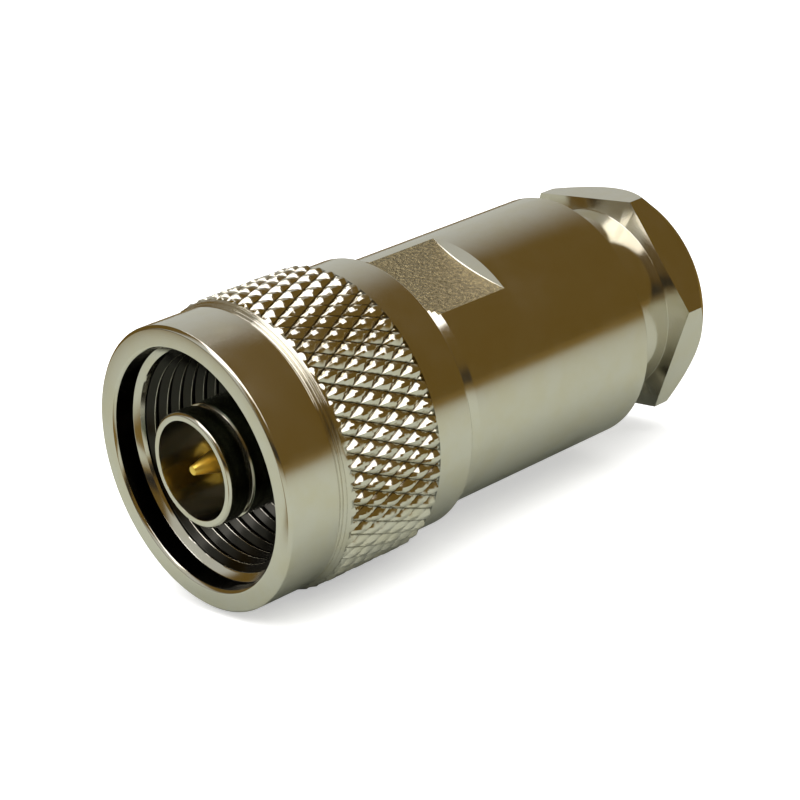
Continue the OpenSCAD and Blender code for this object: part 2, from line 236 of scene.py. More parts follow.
class PLUG_PG_coupling_nut(PropertyGroup):
    """Sizes of the coupling nut"""
    barrel_radius: size("Barrel radius", "Radius of the plain barrel at the front", 10.05)
    barrel_length: size("Barrel length", "Length of the plain barrel", 4.2)
    knurl_start: size("Knurl start", "Distance from the rim to the knurl", 5.0)
    knurl_length: size("Knurl length", "Length of the knurled band", 8.1)
    knurl_depth: size("Knurl depth", "Depth of the grooves between the diamonds", 0.32)
    knurl_chamfer: size("Knurl chamfer", "Length of the chamfer at each end of the knurl", 0.3)
    collar_radius: size("Collar radius", "Radius of the plain collar at the rear", 9.93)
    mouth_radius: size("Mouth radius", "Radius of the counterbore at the mouth", 8.45)
    mouth_depth: size("Mouth depth", "Depth of the counterbore", 1.6)
    thread_start: size("Thread start", "Distance from the rim to the full thread", 2.4)
    thread_end: size("Thread end", "Distance from the rim to the end of the thread", 9.6)
    thread_minor: size("Thread minor radius", "Radius at the thread's crests", 7.45)
    thread_major: size("Thread major radius", "Radius at the thread's roots", 7.94)
    thread_pitch: size("Thread pitch", "Distance between two turns of the thread", 1.0583)
    relief_radius: size("Relief radius", "Radius of the relief behind the thread", 8.05)
    journal_radius: size("Rear bore radius", "Radius of the bore that turns on the body", 7.75)
    diamonds: IntProperty(name="Diamonds", default=52, min=12, max=90,
                          description="Number of diamonds in one ring of the knurl")
    rows: IntProperty(name="Rows", default=7, min=3, max=12,
                      description="Number of staggered rings of diamonds")


class PLUG_PG_body(PropertyGroup):
    """Sizes of the body"""
    sleeve_radius: size("Sleeve radius", "Outer radius of the outer contact sleeve", 4.05)
    sleeve_bore: size("Sleeve bore", "Inner radius of the outer contact sleeve", 3.5)
    lip_length: size("Lip length", "Length of the lip at the sleeve's tip", 1.6)
    groove_width: size("Groove width", "Width of the groove behind the lip", 0.5)
    groove_depth: size("Groove depth", "Depth of the groove behind the lip", 0.2)
    journal_radius: size("Journal radius", "Radius of the journal that carries the nut", 7.67)
    shoulder: size("Shoulder", "Distance from the rim to the body's shoulder", 16.9)
    shoulder_radius: size("Shoulder radius", "Radius of the shoulder's face", 8.75)
    shoulder_bevel: size("Shoulder bevel", "Length of the bevel behind the shoulder", 0.7)
    flat_depth: size("Flat depth", "Depth of each wrench flat", 0.75)
    flat_length: size("Flat length", "Length of the wrench flats", 6.8)
    flat_runout: size("Flat run-out", "Length of the sloped end of the flats", 0.5)
    rear_bevel: size("Rear bevel", "Bevel on the body's rear edge", 0.25)
    bore_radius: size("Rear bore radius", "Radius of the bore for the clamp parts", 7.45)
    flat_turn: FloatProperty(name="Flat turn", default=math.radians(24), subtype="ANGLE",
                             unit="ROTATION", description="Turn of the flats away from the top")


class PLUG_PG_contact(PropertyGroup):
    """Sizes of the centre contact"""
    pin_radius: size("Pin radius", "Radius of the mating pin", 0.82)
    tip_radius: size("Tip radius", "Radius of the flat at the tip", 0.33)
    cone_length: size("Cone length", "Length of the cone at the tip", 1.9)
    pin_length: size("Pin length", "Length of the mating pin with its tip", 5.4)
    stem_radius: size("Stem radius", "Radius of the stem in the front insulator", 1.52)


class PLUG_PG_clamp_nut(PropertyGroup):
    """Sizes of the clamp nut"""
    thread_length: size("Thread length", "Length of the clamp nut's thread", 4.3)
    thread_minor: size("Thread minor radius", "Radius at the thread's roots", 6.85)
    thread_pitch: size("Thread pitch", "Distance between two turns of the thread", 1.0)
    neck_radius: size("Neck radius", "Radius of the plain neck", 7.1)
    hex_length: size("Hex length", "Length of the hex", 3.2)
    chamfer_length: size("Chamfer length", "Length of the chamfer over the hex's corners", 1.85)
    chamfer_drop: size("Chamfer drop", "Radial drop of that chamfer", 1.48)
    bore_radius: size("Bore radius", "Radius of the cable bore", 5.5)


class PLUG_PG_finish(PropertyGroup):
    """Colours of the finishes"""
    nickel: tint("Nickel", "Colour of the nickel plate", (0.66, 0.63, 0.56))
    gold: tint("Gold", "Colour of the gold plate", (0.98, 0.70, 0.15))
    steel: tint("Spring steel", "Colour of the retaining ring", (0.50, 0.50, 0.52))
    brass: tint("Brass", "Colour of the bare brass pieces", (0.72, 0.56, 0.28))
    insulator: tint("Insulator", "Colour of the insulators", (0.90, 0.90, 0.87))
    rubber: tint("Rubber", "Colour of the gaskets", (0.035, 0.035, 0.037))


# ---------------------------------------------------------------- node helpers

def new_group(name, inputs, outputs):
    """An empty shader group with the named float inputs and outputs."""
    group = bpy.data.node_groups.new(name, "ShaderNodeTree")
    for label, value in inputs:
        socket = group.interface.new_socket(name=label, in_out="INPUT",
                                            socket_type="NodeSocketFloat")
        socket.default_value = value
    for label in outputs:
        group.interface.new_socket(name=label, in_out="OUTPUT", socket_type="NodeSocketFloat")
    return group, group.nodes.new("NodeGroupInput"), group.nodes.new("NodeGroupOutput")


def object_place(tree):
    """The point's place on its own piece."""
    return tree.nodes.new("ShaderNodeTexCoord").outputs["Object"]


def split_axes(tree, vector):
    """The X, Y and Z of a vector."""
    node = tree.nodes.new("ShaderNodeSeparateXYZ")
    tree.links.new(vector, node.inputs["Vector"])
    return node.outputs["X"], node.outputs["Y"], node.outputs["Z"]


def math_node(tree, operation, first, second=0.0):
    """A Math node. Each operand is a socket or a number."""
    node = tree.nodes.new("ShaderNodeMath")
    node.operation = operation
    for socket, value in zip(node.inputs, (first, second)):
        if isinstance(value, (int, float)):
            socket.default_value = value
        else:
            tree.links.new(value, socket)
    return node.outputs["Value"]


def noise(tree, vector, scale, detail=2.0, roughness=0.5):
    """A Noise texture's value on the given coordinates."""
    node = tree.nodes.new("ShaderNodeTexNoise")
    tree.links.new(vector, node.inputs["Vector"])
    node.inputs["Scale"].default_value = scale
    node.inputs["Detail"].default_value = detail
    node.inputs["Roughness"].default_value = roughness
    return node.outputs["Fac"]


def spread(tree, value, low, high, low_out, high_out):
    """Maps a range of values to another one, smoothly."""
    node = tree.nodes.new("ShaderNodeMapRange")
    node.interpolation_type = "SMOOTHSTEP"
    tree.links.new(value, node.inputs["Value"])
    for label, number in (("From Min", low), ("From Max", high),
                          ("To Min", low_out), ("To Max", high_out)):
        node.inputs[label].default_value = number
    return node.outputs["Result"]


def rising(tree, value, low, high):
    """Goes from 0 to 1 between two values."""
    return spread(tree, value, low, high, 0.0, 1.0)


def falling(tree, value, low, high):
    """Goes from 1 to 0 between two values."""
    return spread(tree, value, low, high, 1.0, 0.0)


def blend_colours(tree, factor, first, second):
    """Mixes two colours. Each is three numbers or a socket."""
    node = tree.nodes.new("ShaderNodeMix")
    node.data_type = "RGBA"
    tree.links.new(factor, node.inputs["Factor"])
    for label, value in (("A", first), ("B", second)):
        if isinstance(value, bpy.types.NodeSocket):
            tree.links.new(value, node.inputs[label])
        else:
            node.inputs[label].default_value = (*value, 1.0)
    return node.outputs["Result"]


def shaded(colour, shares):
    """A colour with each of its parts taken down or up to a share."""
    return [share * part for share, part in zip(shares, colour)]


def plating_group():
    """Plate over a turned surface: marks in the gloss, tool rings in the height, faint tarnish in
    the colour, and the distance from the axis."""
    group, entry, result = new_group(
        "Plating", (("Gloss", 0.12), ("Marks", 0.06), ("Rings", 0.3)),
        ("Roughness", "Height", "Tarnish", "Radius"))
    place = object_place(group)
    x, y, z = split_axes(group, place)
    smudge = noise(group, place, scale=260, detail=4.0, roughness=0.6)
    marks = math_node(group, "MULTIPLY", rising(group, smudge, 0.4, 0.75), entry.outputs["Marks"])
    group.links.new(math_node(group, "ADD", entry.outputs["Gloss"], marks),
                    result.inputs["Roughness"])
    cloud = noise(group, place, scale=420, detail=5.0, roughness=0.65)
    group.links.new(rising(group, cloud, 0.35, 0.72), result.inputs["Tarnish"])
    square_y = math_node(group, "MULTIPLY", y, y)
    square_z = math_node(group, "MULTIPLY", z, z)
    radius = math_node(group, "SQRT", math_node(group, "ADD", square_y, square_z))
    group.links.new(radius, result.inputs["Radius"])
    feed = math_node(group, "ADD", x, radius)
    rings = group.nodes.new("ShaderNodeTexNoise")
    rings.noise_dimensions = "1D"
    rings.inputs["Scale"].default_value = 9000
    rings.inputs["Detail"].default_value = 2.0
    group.links.new(feed, rings.inputs["W"])
    ring_height = math_node(group, "MULTIPLY", rings.outputs["Fac"], entry.outputs["Rings"])
    peel_height = math_node(group, "MULTIPLY", noise(group, place, scale=1400), 0.5)
    group.links.new(math_node(group, "ADD", ring_height, peel_height), result.inputs["Height"])
    return group


def new_material(name, colour, roughness, metallic=1.0):
    """A material with a plain Principled shader. Returns it, its tree and the shader."""
    material = bpy.data.materials.new(name)
    material.use_nodes = True
    tree = material.node_tree
    shader = tree.nodes["Principled BSDF"]
    shader.inputs["Base Color"].default_value = (*colour, 1.0)
    shader.inputs["Roughness"].default_value = roughness
    shader.inputs["Metallic"].default_value = metallic
    return material, tree, shader


def add_bump(tree, shader, height, strength, distance):
    """Feeds a height into the shader's normal."""
    bump = tree.nodes.new("ShaderNodeBump")
    bump.inputs["Strength"].default_value = strength
    bump.inputs["Distance"].default_value = distance
    tree.links.new(height, bump.inputs["Height"])
    tree.links.new(bump.outputs["Normal"], shader.inputs["Normal"])


def plated(name, colour, gloss, marks, rings, strength=0.25, distance=0.01 * MM, groove_shade=None):
    """A plated, turned metal. Painted shade in the knurl's grooves is full at the first of its
    two radii and gone at the second."""
    _, tree, shader = new_material(name, colour, gloss)
    plate = tree.nodes.new("ShaderNodeGroup")
    plate.node_tree = bpy.data.node_groups.get("Plating") or plating_group()
    plate.inputs["Gloss"].default_value = gloss
    plate.inputs["Marks"].default_value = marks
    plate.inputs["Rings"].default_value = rings
    tree.links.new(plate.outputs["Roughness"], shader.inputs["Roughness"])
    tarnish_and_shade = blend_colours(tree, plate.outputs["Tarnish"], colour, shaded(colour, TARNISH))
    # Painted shade: the colour darkens towards the groove roots, over the tarnish.
    if groove_shade:
        tarnish_and_shade = blend_colours(tree, rising(tree, plate.outputs["Radius"], *groove_shade), KNURL_GROOVE_PAINTED_SHADE, tarnish_and_shade)
    tree.links.new(tarnish_and_shade, shader.inputs["Base Color"])
    add_bump(tree, shader, plate.outputs["Height"], strength, distance)


def milled(name, colour):
    """A coarse milled face under plate, with a sparkling grain."""
    _, tree, shader = new_material(name, colour, 0.3)
    grain = noise(tree, object_place(tree), scale=4400, detail=3.0, roughness=0.7)
    gloss = spread(tree, grain, 0.3, 0.7, low_out=0.12, high_out=0.24)
    tree.links.new(gloss, shader.inputs["Roughness"])
    shine = blend_colours(tree, rising(tree, grain, 0.40, 0.66), shaded(colour, GRAIN_DARK),
                          shaded(colour, GRAIN_LIGHT))
    tree.links.new(shine, shader.inputs["Base Color"])
    add_bump(tree, shader, grain, strength=1.0, distance=0.14 * MM)


def moulded(name, colour, roughness, grain_scale, strength):
    """A matt or waxy moulded material."""
    _, tree, shader = new_material(name, colour, roughness, metallic=0.0)
    grain = noise(tree, object_place(tree), grain_scale, detail=4.0, roughness=0.6)
    gloss = spread(tree, grain, 0.3, 0.7, roughness * 0.85, min(1.0, roughness * 1.15))
    tree.links.new(gloss, shader.inputs["Roughness"])
    add_bump(tree, shader, grain, strength, distance=0.03 * MM)


def finishes():
    """All materials by name, made once."""
    made = bpy.data.materials
    if "nickel_turned" not in made:
        colours = bpy.context.scene.plug_finish
        nickel = colours.nickel
        root = NUT_HIGH.z - bpy.context.scene.plug_coupling_nut.knurl_depth
        plated("nickel_turned", nickel, gloss=0.13, marks=0.05, rings=0.25)
        plated("nickel_coarse", nickel, gloss=0.10, marks=0.05, rings=3.0,
               strength=0.8, distance=0.02 * MM)
        # The knurl's grooves get painted shade.
        plated("nickel_knurl", nickel, gloss=0.12, marks=0.08, rings=0.0,
               strength=0.5, distance=0.02 * MM,
               groove_shade=(root - PAINTED_SHADE_BELOW_ROOT, root + PAINTED_SHADE_ABOVE_ROOT))
        # The bore's nickel, darkened nearly to black as painted shade.
        plated("nickel_bore", shaded(nickel, BORE_PAINTED_SHADE), gloss=0.16, marks=0.05, rings=0.3)
        # The sleeve's nickel, darkened as painted shade.
        plated("nickel_sleeve", SLEEVE_PAINTED_SHADE, gloss=0.14, marks=0.05, rings=0.3)
        milled("nickel_milled", shaded(nickel, MILLED_SHADE))
        plated("gold_turned", colours.gold, gloss=0.32, marks=0.06, rings=0.4)
        plated("steel_ring", colours.steel, gloss=0.25, marks=0.10, rings=0.5)
        plated("brass_turned", colours.brass, gloss=0.22, marks=0.10, rings=0.8)
        moulded("insulator_white", colours.insulator, roughness=0.42, grain_scale=900,
                strength=0.15)
        moulded("gasket_black", colours.rubber, roughness=0.62, grain_scale=2600, strength=0.4)
    return made


# ---------------------------------------------------------------- mesh helpers

def radius_of(point):
    """Distance from the plug's axis."""
    return math.hypot(point.y, point.z)


def set_radius(vertex, radius):
    """Moves a vertex straight out or in to this distance from the axis."""
    scale = radius / radius_of(vertex.co)
    vertex.co.y *= scale
    vertex.co.z *= scale


def angle_of(point):
    """Angle round the axis from the top, growing towards the side of -Y."""
    return math.atan2(-point.y, point.z)


def outline(mesh, points, start=0.0, closed=False):
    """A chain of edges through points, each its distance from the rim and its radius, in the
    plane at the start angle."""
    turn = Matrix.Rotation(start, 3, "X")
    vertices = [mesh.verts.new(turn @ Vector((x, 0, r))) for x, r in points]
    pairs = list(zip(vertices, vertices[1:]))
    if closed:
        pairs.append((vertices[-1], vertices[0]))
    for first, second in pairs:
        mesh.edges.new((first, second))
    return vertices


def soften(mesh, vertices, width, segments=3):
    """Rounds the corners of an outline at these vertices."""
    bmesh.ops.bevel(mesh, geom=vertices, offset=width, offset_type="OFFSET", segments=segments,
                    profile=0.5, affect="VERTICES", clamp_overlap=True, material=-1)


def turned(points, steps, start=0.0, closed=False, keep=()):
    """A mesh turned from an outline, with its corners rounded, apart from the kept ones."""
    mesh = bmesh.new()
    vertices = outline(mesh, points, start, closed)
    corners = [v for i, v in enumerate(vertices) if i not in keep and len(v.link_edges) == 2]
    soften(mesh, corners, CORNER_ROUNDING)
    bmesh.ops.spin(mesh, geom=mesh.verts[:] + mesh.edges[:], cent=CENTRE, axis=AXIS, angle=TURN,
                   steps=steps, use_merge=True)
    return mesh


def threaded(crest, root, pitch, start, end, steps):
    """An open helical band of 60 degree thread, a pitch longer than asked at each end. On an
    inner thread the crest has the smaller radius."""
    mesh = bmesh.new()
    flat = pitch / 8
    flank = (pitch - 2 * flat) / 2
    turns = math.ceil((end - start) / pitch) + 2
    points = []
    for turn in range(turns):
        x = start + (turn - 1) * pitch
        points += [(x, crest), (x + flat, crest),
                   (x + flat + flank, root), (x + 2 * flat + flank, root)]
    points.append((start + (turns - 1) * pitch, crest))
    outline(mesh, points)
    corners = [v for v in mesh.verts if len(v.link_edges) == 2]
    soften(mesh, corners, pitch / 24, segments=2)
    bmesh.ops.spin(mesh, geom=mesh.verts[:] + mesh.edges[:], cent=CENTRE, axis=AXIS, angle=TURN,
                   dvec=(pitch / steps, 0, 0), steps=steps, use_merge=False)
    bmesh.ops.remove_doubles(mesh, verts=mesh.verts[:], dist=THREAD_WELD)
    return mesh


def finish_piece(name, mesh, materials, body, replaced, sharp_degrees=32):
    """Cleans a mesh, makes it an object at the origin and joins it to its body."""
    bmesh.ops.remove_doubles(mesh, verts=mesh.verts[:], dist=WELD)
    bmesh.ops.dissolve_degenerate(mesh, dist=SLIVER, edges=mesh.edges[:])
    bmesh.ops.recalc_face_normals(mesh, faces=mesh.faces[:])
    for face in mesh.faces:
        face.smooth = True
    data = bpy.data.meshes.new(name)
    mesh.to_mesh(data)
    mesh.free()
    data.set_sharp_from_angle(angle=math.radians(sharp_degrees))
    for label in materials:
        data.materials.append(finishes()[label])
    piece = bpy.data.objects.new(name, data)
    bpy.context.scene.collection.objects.link(piece)
    flatten = piece.modifiers.new("flat faces stay flat", "WEIGHTED_NORMAL")
    flatten.keep_sharp = True
    flatten.weight = 50
    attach(piece, body)
    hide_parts(replaced)


def join_mesh(target, other):
    """Adds another mesh to the target and frees it."""
    data = bpy.data.meshes.new("joining")
    other.to_mesh(data)
    other.free()
    target.from_mesh(data)
    bpy.data.meshes.remove(data)


def paint(mesh, index, chosen):
    """Gives the chosen faces a material index."""
    for face in mesh.faces:
        if chosen(face):
            face.material_index = index


# ---------------------------------------------------------------- coupling nut

def diamond_height(column, row):
    """Height of the knurl, from 0 in a groove to 1 on a diamond's worn top, in half diamonds."""
    rise = (column + row) / 2
    fall = (column - row) / 2
    rise = 2 * abs(rise - round(rise))
    fall = 2 * abs(fall - round(fall))
    slope = (rise ** RIDGE_ROUNDING + fall ** RIDGE_ROUNDING) ** (1 / RIDGE_ROUNDING)
    return 1 - max(0.0, (min(1.0, slope) - TOP_SHARE) / (1 - TOP_SHARE)) ** WALL_CURVE


def knurl_rows(nut):
    """The distance from the rim to the first row of diamonds, and from each row to the next."""
    first = nut.knurl_start + nut.knurl_chamfer
    return first, (nut.knurl_length - 2 * nut.knurl_chamfer) / (nut.rows - 1)


def to_quarter(value):
    """The nearest quarter, where the knurl's points lie."""
    return round(value * 4) / 4


def shape_knurl(mesh, nut):
    """Divides the knurled band and raises the diamonds on it."""
    tip = NUT_HIGH.z
    root = tip - nut.knurl_depth
    first, step = knurl_rows(nut)
    last = first + step * (nut.rows - 1)

    def banded():
        return [v for v in mesh.verts
                if first - KNURL_SLACK < v.co.x < last + KNURL_SLACK
                and radius_of(v.co) > root - 2 * KNURL_SLACK]

    chosen = set(banded())
    edges = [e for e in mesh.edges if e.verts[0] in chosen and e.verts[1] in chosen]
    bmesh.ops.subdivide_edges(mesh, edges=edges, cuts=1, use_grid_fill=True)
    band = banded()
    scatter = random.Random(KNURL_SEED)
    for vertex in sorted(band, key=lambda v: (round(v.co.x / MM, 3), round(angle_of(v.co), 4))):
        column = to_quarter(angle_of(vertex.co) / (math.pi / nut.diamonds) - KNURL_TURN)
        row = to_quarter((vertex.co.x - first) / step)
        height = diamond_height(column - KNURL_SHIFT[0], row - KNURL_SHIFT[1])
        wander = scatter.uniform(-1, 1) * KNURL_WANDER * MM
        set_radius(vertex, min(tip, root + nut.knurl_depth * height + wander))
    chosen = set(band)
    for face in mesh.faces[:]:
        if len(face.verts) != 4 or not all(v in chosen for v in face.verts):
            continue
        corners = face.verts[:]
        pairs = ((corners[0], corners[2]), (corners[1], corners[3]))
        low = min(pairs, key=lambda pair: sum(radius_of(v.co) for v in pair))
        bmesh.utils.face_split(face, *low)


def coupling_nut_mesh(nut):
    """The turned blank with its knurl and its inner thread."""
    steps = 4 * nut.diamonds
    rear = NUT_HIGH.x
    tip = NUT_HIGH.z
    root = tip - nut.knurl_depth
    relief = nut.thread_end
    relief_end = relief + RELIEF_LENGTH
    cone_slope = (nut.mouth_radius - nut.thread_minor) / (nut.thread_start - nut.mouth_depth)
    lead_radius = nut.thread_major + LEAD_MARGIN
    lead = nut.mouth_depth + (nut.mouth_radius - lead_radius) / cone_slope
    ring_low = RING_LOW.x - RING_SIDE_ROOM
    ring_high = RING_HIGH.x + RING_SIDE_ROOM
    ring_radius = RING_HIGH.y + RING_OUTER_ROOM
    cone_start = nut.barrel_length + CONE_STEP
    cone_low = tip - CONE_DROP
    cone_high = root + CONE_TOP_SHARE * nut.knurl_depth
    front = [
        (lead, lead_radius), (nut.mouth_depth, nut.mouth_radius), (RIM_BEVEL, nut.mouth_radius),
        (0, nut.mouth_radius + RIM_BEVEL), (0, nut.barrel_radius - RIM_BEVEL),
        (RIM_BEVEL, nut.barrel_radius), (nut.barrel_length, nut.barrel_radius),
        (nut.barrel_length, cone_low), (cone_start, cone_low),
    ]
    lines = len(CONE_LINES)
    for line, ripple in enumerate(CONE_LINES, 1):
        front.append((cone_start + (nut.knurl_start - cone_start) * line / lines,
                      cone_low + (cone_high - cone_low) * line / lines + ripple * MM))
    first_row, step = knurl_rows(nut)
    knurl = [(first_row + i * step / 2, root) for i in range(2 * nut.rows - 1)]
    knurl_end = nut.knurl_start + nut.knurl_length
    back = [
        (knurl_end, root), (knurl_end, nut.collar_radius),
        (rear - COLLAR_BEVEL, nut.collar_radius), (rear, nut.collar_radius - COLLAR_BEVEL),
        (rear, nut.journal_radius), (ring_high, nut.journal_radius), (ring_high, ring_radius),
        (ring_low, ring_radius), (ring_low, nut.journal_radius),
        (relief_end, nut.journal_radius), (relief_end, nut.relief_radius),
        (relief, nut.relief_radius),
    ]
    points = front + knurl + back
    first = len(front) - lines
    last = len(front) + len(knurl)
    kept = set(range(first, last + 1)) | {0, len(points) - 1}
    mesh = turned(points, steps, start=KNURL_TURN * math.pi / nut.diamonds, keep=kept)
    shape_knurl(mesh, nut)
    thread = threaded(nut.thread_minor, nut.thread_major, nut.thread_pitch, lead, relief, steps)
    for vertex in thread.verts:
        if vertex.co.x <= lead:
            vertex.co.x = lead
            set_radius(vertex, lead_radius)
        elif vertex.co.x >= relief:
            vertex.co.x = relief
            set_radius(vertex, nut.relief_radius)
        else:
            cone = lead_radius - (vertex.co.x - lead) * cone_slope
            set_radius(vertex, max(radius_of(vertex.co), cone))
    join_mesh(mesh, thread)
    return mesh


class PLUG_OT_coupling_nut(Operator):
    """Builds the knurled coupling nut with its inner thread"""
    bl_idname = "plug.coupling_nut"
    bl_label = "Coupling nut"

    def execute(self, context):
        nut = context.scene.plug_coupling_nut
        mesh = coupling_nut_mesh(nut)
        knurl_low = nut.knurl_start - KNURL_COLOUR_MARGIN
        knurl_high = nut.knurl_start + nut.knurl_length + KNURL_COLOUR_MARGIN
        outside = nut.collar_radius - OUTSIDE_MARGIN

        def on_knurl(face):
            middle = face.calc_center_median()
            return knurl_low < middle.x < knurl_high and radius_of(middle) > outside

        def on_cone(face):
            middle = face.calc_center_median()
            return nut.barrel_length < middle.x < nut.knurl_start and radius_of(middle) > outside

        def in_shaded_bore(face):
            middle = face.calc_center_median()
            radius = radius_of(middle)
            crest = radius < nut.thread_minor + CREST_MARGIN and middle.x < nut.thread_end
            cone = nut.mouth_depth < middle.x < nut.thread_start and radius > nut.thread_major
            return radius < nut.mouth_radius + BORE_MARGIN and not crest and not cone

        paint(mesh, 1, on_knurl)
        paint(mesh, 2, on_cone)
        # Painted shade: the bore within the mouth's radius takes the near-black nickel, apart from
        # the thread's crests and the lead-in cone.
        paint(mesh, 3, in_shaded_bore)
        finish_piece("knurled_coupling_nut", mesh,
                     ("nickel_turned", "nickel_knurl", "nickel_coarse", "nickel_bore"),
                     "coupling_nut", "coupling_nut")
        return {"FINISHED"}


# ---------------------------------------------------------------- body

def snap_columns(mesh, angles, reach):
    """Turns the columns nearest to these angles onto them, so that an edge can run along them."""
    for vertex in mesh.verts:
        angle = angle_of(vertex.co)
        for wanted in angles:
            off = (wanted - angle + math.pi) % TURN - math.pi
            if abs(off) <= reach:
                vertex.co = Matrix.Rotation(off, 3, "X") @ vertex.co
                break


def mill_flats(mesh, body, full):
    """Presses the two wrench flats into the barrel. Returns a test for the milled floors' faces."""
    flat_height = full - body.flat_depth
    half = math.acos(flat_height / full)
    end = body.shoulder + body.flat_length
    floor_end = end - body.flat_runout

    def offset(point):
        angle = angle_of(point) - body.flat_turn
        return min(((angle + k * math.pi + math.pi) % TURN - math.pi for k in (0, 1)), key=abs)

    for vertex in mesh.verts:
        x = vertex.co.x
        off = offset(vertex.co)
        radius = radius_of(vertex.co)
        along = body.shoulder - SLACK <= x <= end - SLACK
        if abs(off) > half + SLACK or not along or radius < flat_height:
            continue
        depth = max(0.0, radius - flat_height / math.cos(off))
        if x < floor_end - SLACK:
            set_radius(vertex, radius - depth)
            continue
        rise = min(1.0, (end - x) / body.flat_runout)
        vertex.co.x = end - (end - x) * depth / body.flat_depth
        if rise < RUNOUT_BLEND:
            share = RUNOUT_SLOPE * rise
        else:
            bend = math.sin((rise - RUNOUT_BLEND) * TURN)
            share = RUNOUT_HEIGHT + (1 - RUNOUT_HEIGHT) * bend
        set_radius(vertex, radius - depth * share)

    def on_floor(face):
        middle = face.calc_center_median()
        off = offset(middle)
        inside = body.shoulder < middle.x < floor_end and abs(off) < half
        return inside and abs(radius_of(middle) * math.cos(off) - flat_height) < FLOOR_MARGIN

    return on_floor


def body_mesh(body):
    """The turned body with its sleeve, journal, barrel and stepped bore."""
    full = BODY_HIGH.z
    rear = BODY_HIGH.x
    journal = SEAT_LOW.x + JOURNAL_BEHIND_SEAT
    boss = SEAT_LOW.x - BOSS_BEFORE_SEAT
    groove_end = body.lip_length + body.groove_width
    groove_radius = body.sleeve_radius - body.groove_depth
    ring_low = RING_LOW.x - GROOVE_ROOM
    ring_high = RING_HIGH.x + GROOVE_ROOM
    seat = SEAT_HIGH.z + SEAT_ROOM
    rear_seat = REAR_HIGH.z + SEAT_ROOM
    end = body.shoulder + body.flat_length
    run = body.flat_runout
    shoulder_end = body.shoulder + body.shoulder_bevel
    sleeve = [
        (0, body.sleeve_bore), (0, body.sleeve_radius - SLEEVE_BEVEL),
        (SLEEVE_BEVEL, body.sleeve_radius), (body.lip_length, body.sleeve_radius),
        (body.lip_length, groove_radius), (groove_end, groove_radius),
        (groove_end, body.sleeve_radius), (boss, body.sleeve_radius),
        (boss, BOSS_RADIUS), (journal, BOSS_RADIUS), (journal, body.journal_radius),
        (ring_low, body.journal_radius), (ring_low, GROOVE_RADIUS), (ring_high, GROOVE_RADIUS),
        (ring_high, body.journal_radius), (body.shoulder, body.journal_radius),
        (body.shoulder, body.shoulder_radius),
    ]
    bevel = [(body.shoulder + body.shoulder_bevel * i / BEVEL_ROWS,
              body.shoulder_radius + (full - body.shoulder_radius) * i / BEVEL_ROWS)
             for i in range(1, BEVEL_ROWS)]
    barrel = [(shoulder_end, full), (shoulder_end + (end - shoulder_end) / 2, full),
              (end - run, full)]
    barrel += [(end - run * (1 - i / RUNOUT_ROWS), full) for i in range(1, RUNOUT_ROWS)]
    barrel += [(end, full)]
    inside = [
        (rear - body.rear_bevel, full), (rear, full - body.rear_bevel),
        (rear, body.bore_radius + BORE_CHAMFER), (rear - BORE_CHAMFER, body.bore_radius),
        (GUIDE_LOW.x, body.bore_radius), (GUIDE_LOW.x, rear_seat),
        (SEAT_HIGH.x, rear_seat), (SEAT_HIGH.x, seat),
        (SEAT_LOW.x, seat), (SEAT_LOW.x, body.sleeve_bore),
    ]
    points = sleeve + bevel + barrel + inside
    first = len(sleeve) - 1
    last = len(sleeve) + len(bevel) + len(barrel)
    mesh = turned(points, TURNED_STEPS, start=body.flat_turn, closed=True,
                  keep=set(range(first, last)))
    half = math.acos((full - body.flat_depth) / full)
    edges = [body.flat_turn + turn + side * half for turn in (0, math.pi) for side in (-1, 1)]
    snap_columns(mesh, edges, math.pi / TURNED_STEPS * SNAP_REACH)
    on_floor = mill_flats(mesh, body, full)

    def on_shaded_sleeve(face):
        middle = face.calc_center_median()
        outside = body.sleeve_radius - SLEEVE_MARGIN < radius_of(middle) < GROOVE_RADIUS
        return outside and SLEEVE_SHADE_START < middle.x < boss + SLEEVE_SHADE_END

    paint(mesh, 1, on_floor)
    # Painted shade on the sleeve's outside within the nut's mouth.
    paint(mesh, 2, on_shaded_sleeve)
    return mesh


class PLUG_OT_body(Operator):
    """Builds the turned body with its outer contact sleeve and wrench flats"""
    bl_idname = "plug.body"
    bl_label = "Body"

    def execute(self, context):
        mesh = body_mesh(context.scene.plug_body)
        finish_piece("turned_body", mesh, ("nickel_turned", "nickel_milled", "nickel_sleeve"),
                     "plug_body", "body_shell", sharp_degrees=18)
        return {"FINISHED"}


# ---------------------------------------------------------------- centre contact

class PLUG_OT_centre_contact(Operator):
    """Builds the gold centre contact"""
    bl_idname = "plug.centre_contact"
    bl_label = "Centre contact"

    def execute(self, context):
        contact = context.scene.plug_contact
        front = PIN_LOW.x
        shoulder = front + contact.pin_length
        collar = REAR_LOW.x
        rear = PIN_HIGH.x
        collar_end = collar + COLLAR_LENGTH
        cup_floor = rear - CUP_DEPTH
        points = [
            (front, 0.0), (front, contact.tip_radius),
            (front + contact.cone_length, contact.pin_radius), (shoulder, contact.pin_radius),
            (shoulder, contact.stem_radius - STEM_BEVEL),
            (shoulder + STEM_BEVEL, contact.stem_radius), (collar, contact.stem_radius),
            (collar, PIN_HIGH.z), (collar_end, PIN_HIGH.z), (collar_end, CUP_RADIUS),
            (rear, CUP_RADIUS), (rear, CUP_BORE), (cup_floor, CUP_BORE), (cup_floor, 0.0),
        ]
        mesh = turned(points, CONTACT_STEPS)
        finish_piece("gold_centre_contact", mesh, ("gold_turned",), "plug_body", "centre_pin")
        return {"FINISHED"}


# ---------------------------------------------------------------- clamp nut

